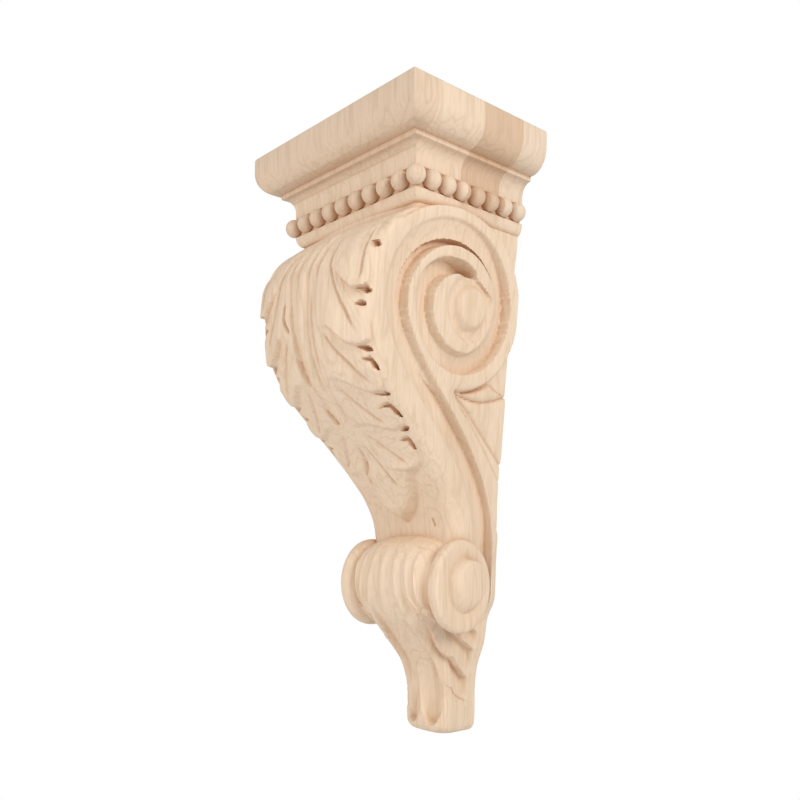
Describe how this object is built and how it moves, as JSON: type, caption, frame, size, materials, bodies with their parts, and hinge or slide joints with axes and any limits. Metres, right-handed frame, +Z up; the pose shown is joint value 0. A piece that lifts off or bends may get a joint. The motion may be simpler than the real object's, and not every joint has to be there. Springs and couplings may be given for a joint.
{
  "type": "carved wooden corbel",
  "caption": "Carved wooden corbel: moulded cap with a row of beads over an S-scroll with an acanthus leaf, side volutes, a roll and a fluted foot.",
  "frame": {"origin": "on the flat back, on the centre line, at the height of the upper wall fixing, 70 mm below the top", "axes": "+Z up, +Y out of the back towards the wall, +X across the front to the right seen from the front"},
  "size_m": [0.135, 0.1145, 0.328],
  "materials": {
    "carved_wood": "pale unfinished hardwood, glued up from upright boards and carved, sanded smooth, with fine grain"
  },
  "bodies": {
    "root": {"corbel": "carved_wood"}
  },
  "joints": []
}
